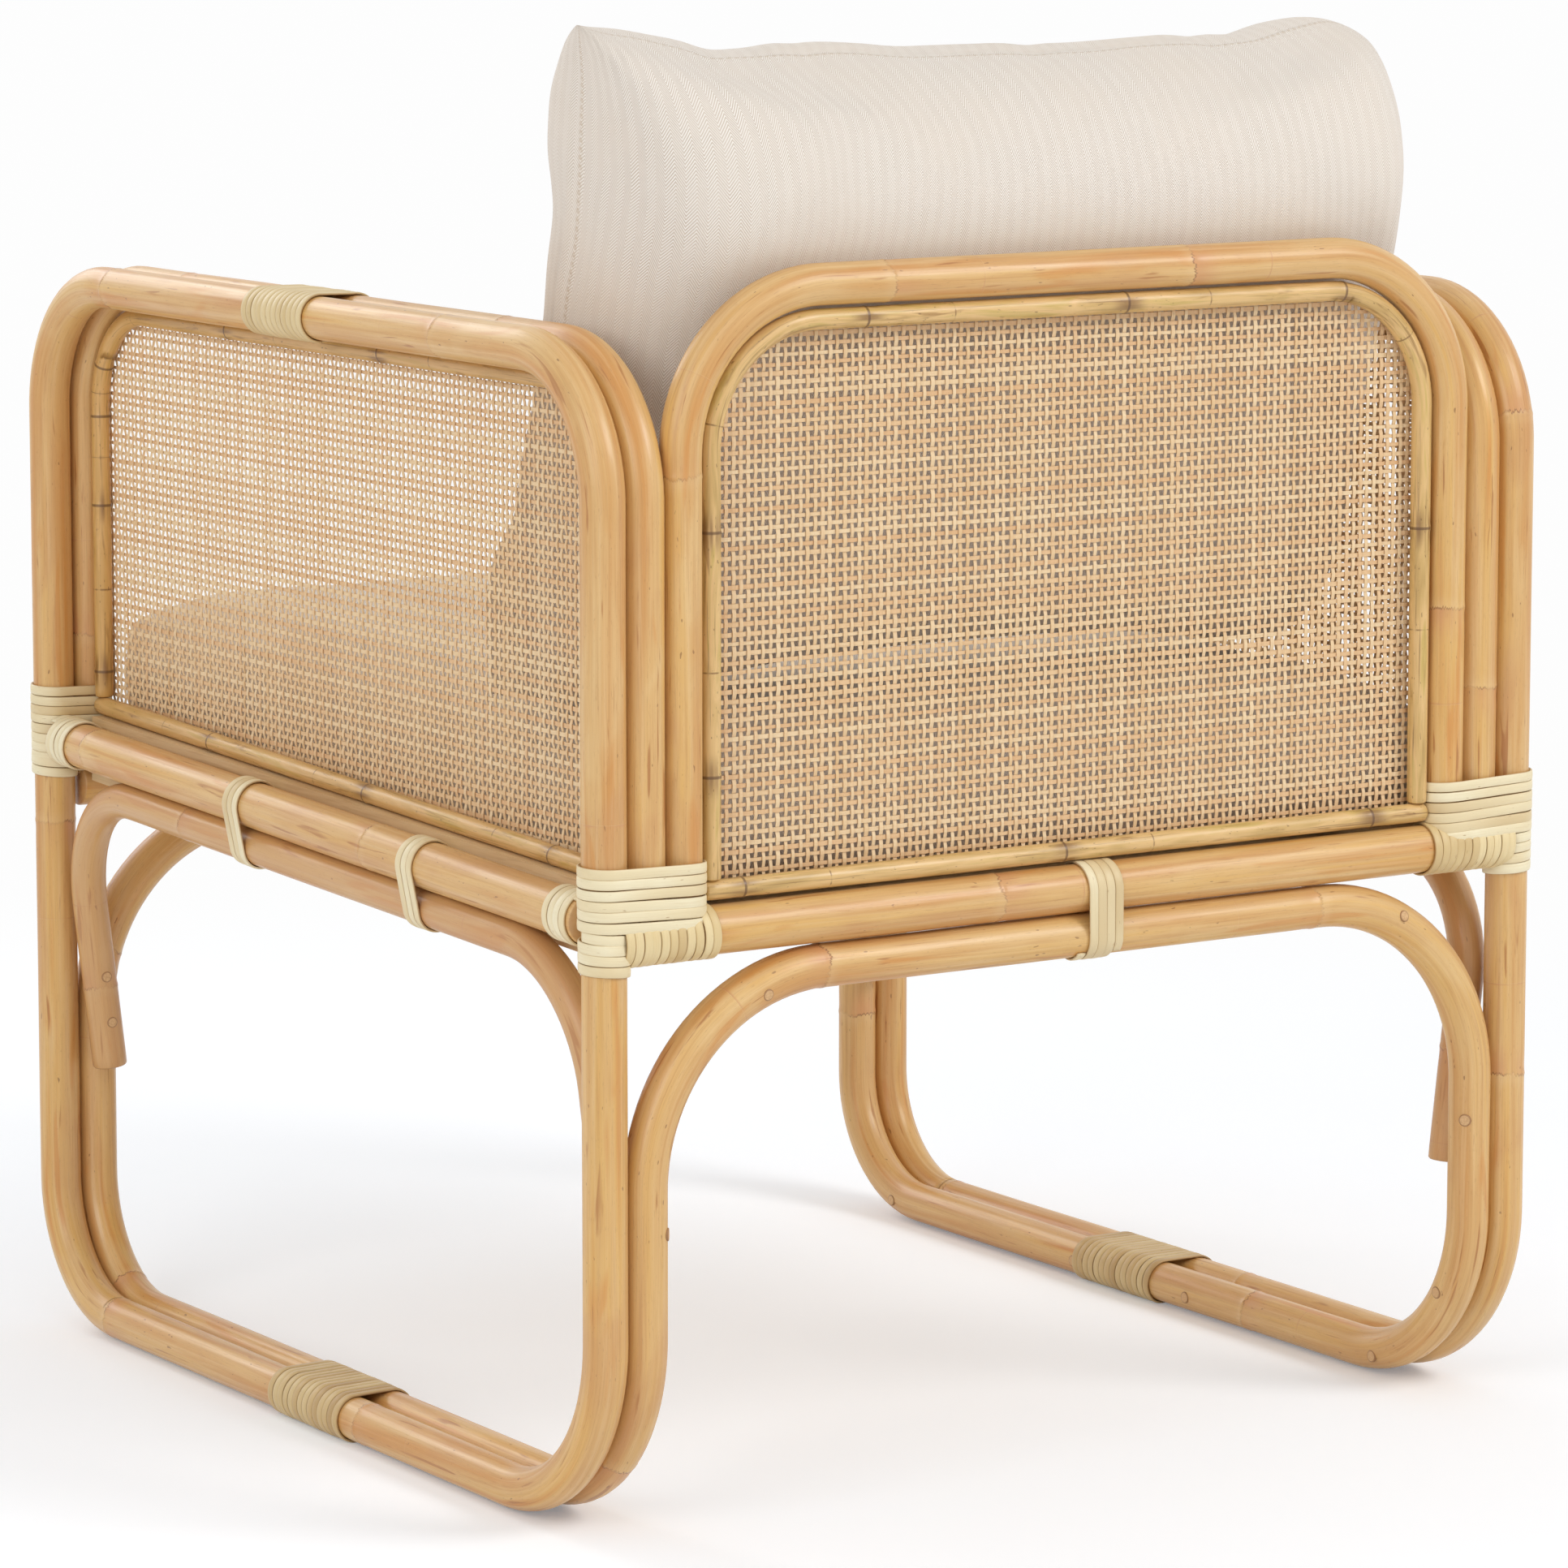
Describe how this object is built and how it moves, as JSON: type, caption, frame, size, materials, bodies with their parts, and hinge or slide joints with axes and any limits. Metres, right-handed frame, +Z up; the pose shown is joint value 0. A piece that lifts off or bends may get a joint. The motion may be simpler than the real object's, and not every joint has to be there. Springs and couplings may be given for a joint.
{
  "type": "accent chair",
  "caption": "Rattan pole lounge chair with cane panels under rounded arms, sled runners, and loose seat and back cushions.",
  "frame": {"origin": "on the floor under the centre of the chair", "axes": "-Y is the way the chair faces, +X is the sitter's left, +Z is up"},
  "size_m": [0.6808, 0.7083, 0.8531],
  "materials": {
    "rattan": "peeled rattan pole, clear satin lacquer",
    "peel": "flat rattan peel, satin",
    "runner_peel": "darker rattan peel, satin",
    "cane": "square-woven cane sheet, satin",
    "bead": "thin unpeeled cane with dark nodes, satin",
    "deck": "sawn softwood, bare",
    "upholstery": "cream herringbone weave, matte"
  },
  "bodies": {
    "frame": {"arm_binding_left": "peel", "arm_binding_right": "peel", "arm_pole_left": "rattan", "arm_pole_right": "rattan", "back_bead": "bead", "back_cane": "cane", "back_frame_pole": "rattan", "back_rail": "rattan", "back_rail_wrap_left": "peel", "back_rail_wrap_right": "peel", "back_sill": "bead", "back_tie": "peel", "front_corner_binding_left": "peel", "front_corner_binding_right": "peel", "front_leg_wrap_left": "peel", "front_leg_wrap_right": "peel", "front_rail": "rattan", "front_side_rail_wrap_left": "peel", "front_side_rail_wrap_right": "peel", "front_tie": "peel", "left_bead": "bead", "left_cane": "cane", "left_sill": "bead", "loop_left": "rattan", "loop_right": "rattan", "rear_corner_binding_left": "peel", "rear_corner_binding_right": "peel", "rear_leg_wrap_left": "peel", "rear_leg_wrap_right": "peel", "rear_side_rail_wrap_left": "peel", "rear_side_rail_wrap_right": "peel", "right_bead": "bead", "right_cane": "cane", "right_sill": "bead", "runner_binding_left": "runner_peel", "runner_binding_right": "runner_peel", "seat_bearer_left": "deck", "seat_bearer_right": "deck", "seat_slat_1": "deck", "seat_slat_2": "deck", "seat_slat_3": "deck", "seat_slat_4": "deck", "seat_slat_5": "deck", "seat_slat_6": "deck", "seat_slat_7": "deck", "side_arch_left": "rattan", "side_arch_right": "rattan", "side_rail_left": "rattan", "side_rail_right": "rattan", "side_tie_front_left": "peel", "side_tie_front_right": "peel", "side_tie_rear_left": "peel", "side_tie_rear_right": "peel", "under_pole_front": "rattan", "under_pole_rear": "rattan"},
    "seat_cushion": {"seat_cushion": "upholstery"},
    "back_cushion": {"back_cushion": "upholstery"}
  },
  "joints": [
    {"name": "seat_cushion_lift", "type": "slide", "parent": "frame", "child": "seat_cushion", "axis": [0, 0, 1], "range_m": [0, 0.3]},
    {"name": "back_cushion_lift", "type": "slide", "parent": "seat_cushion", "child": "back_cushion", "axis": [0, 0, 1], "range_m": [0, 0.3]}
  ]
}
